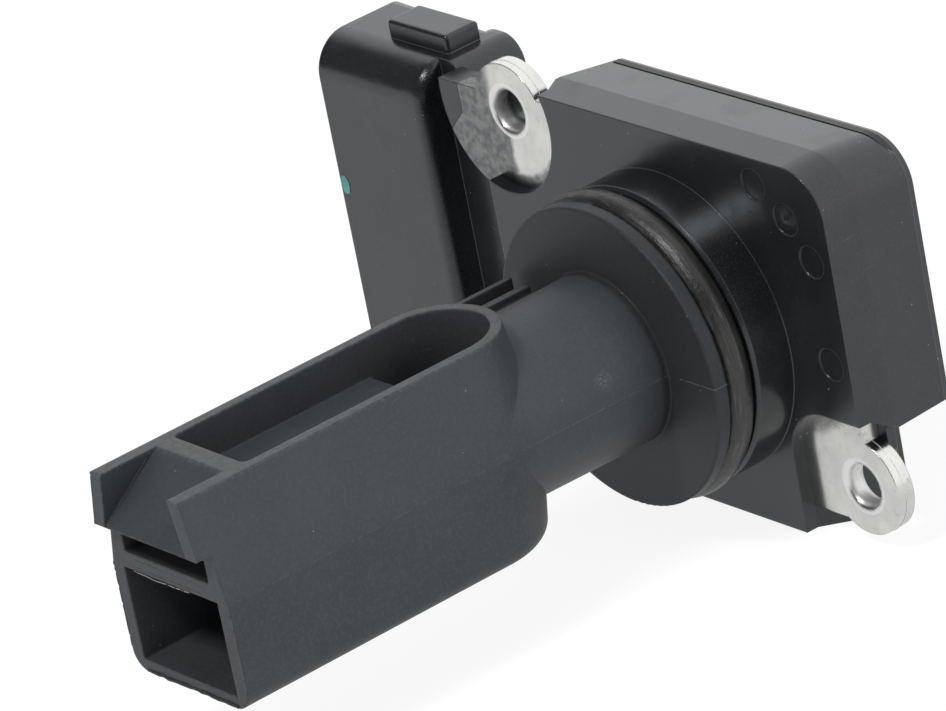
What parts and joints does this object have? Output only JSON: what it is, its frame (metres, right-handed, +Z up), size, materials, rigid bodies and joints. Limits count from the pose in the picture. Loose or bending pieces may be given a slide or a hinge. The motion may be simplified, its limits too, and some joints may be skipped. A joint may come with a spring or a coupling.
{
  "type": "mass airflow sensor",
  "caption": "Plug-in mass airflow sensor: grey bypass probe with O-ring seal, black electronics head, side connector and aluminium plate with two fixing ears.",
  "frame": {"origin": "on the probe's axis in the head's front face, where the sensor seats on the intake pipe", "axes": "-Y along the probe towards its tip, +Z up across the head, -X towards the connector's mouth"},
  "size_m": [0.0776, 0.0759, 0.0404],
  "materials": {
    "black_housing": "semi-gloss black glass-filled PBT",
    "grey_probe": "matte dark grey glass-filled PBT",
    "cast_plate": "burnished aluminium",
    "seal_rubber": "satin black fluororubber",
    "sealant": "cured silicone sealant",
    "adhesive": "heat-conducting silicone",
    "ceramic": "white ceramic",
    "chip_black": "moulded epoxy",
    "gel": "soft silicone gel",
    "tin_brass": "tin-plated brass",
    "wire_metal": "bright wire",
    "element_white": "glass-coated ceramic",
    "glass_bead": "glass-coated thermistor"
  },
  "bodies": {
    "root": {"sensor_housing": "black_housing", "rear_cover": "black_housing", "cover_sealant": "sealant", "base_plate": "cast_plate", "bypass_body": "grey_probe", "bypass_partition": "grey_probe", "o_ring": "seal_rubber", "sensing_holder": "grey_probe", "hot_wire": "element_white", "cold_wire": "element_white", "air_temperature_thermistor": "glass_bead", "thermistor_leads": "wire_metal", "board_adhesive": "adhesive", "circuit_board": "ceramic", "control_chip": "chip_black", "bridge_transistor": "chip_black", "chip_capacitors": "ceramic", "chip_resistors": "chip_black", "bond_wires": "wire_metal", "potting_gel": "gel", "connector_terminal_1": "tin_brass", "connector_terminal_2": "tin_brass", "connector_terminal_3": "tin_brass", "connector_terminal_4": "tin_brass", "connector_terminal_5": "tin_brass", "sensing_terminal_1": "tin_brass", "sensing_terminal_2": "tin_brass", "sensing_terminal_3": "tin_brass", "sensing_terminal_4": "tin_brass"}
  },
  "joints": []
}
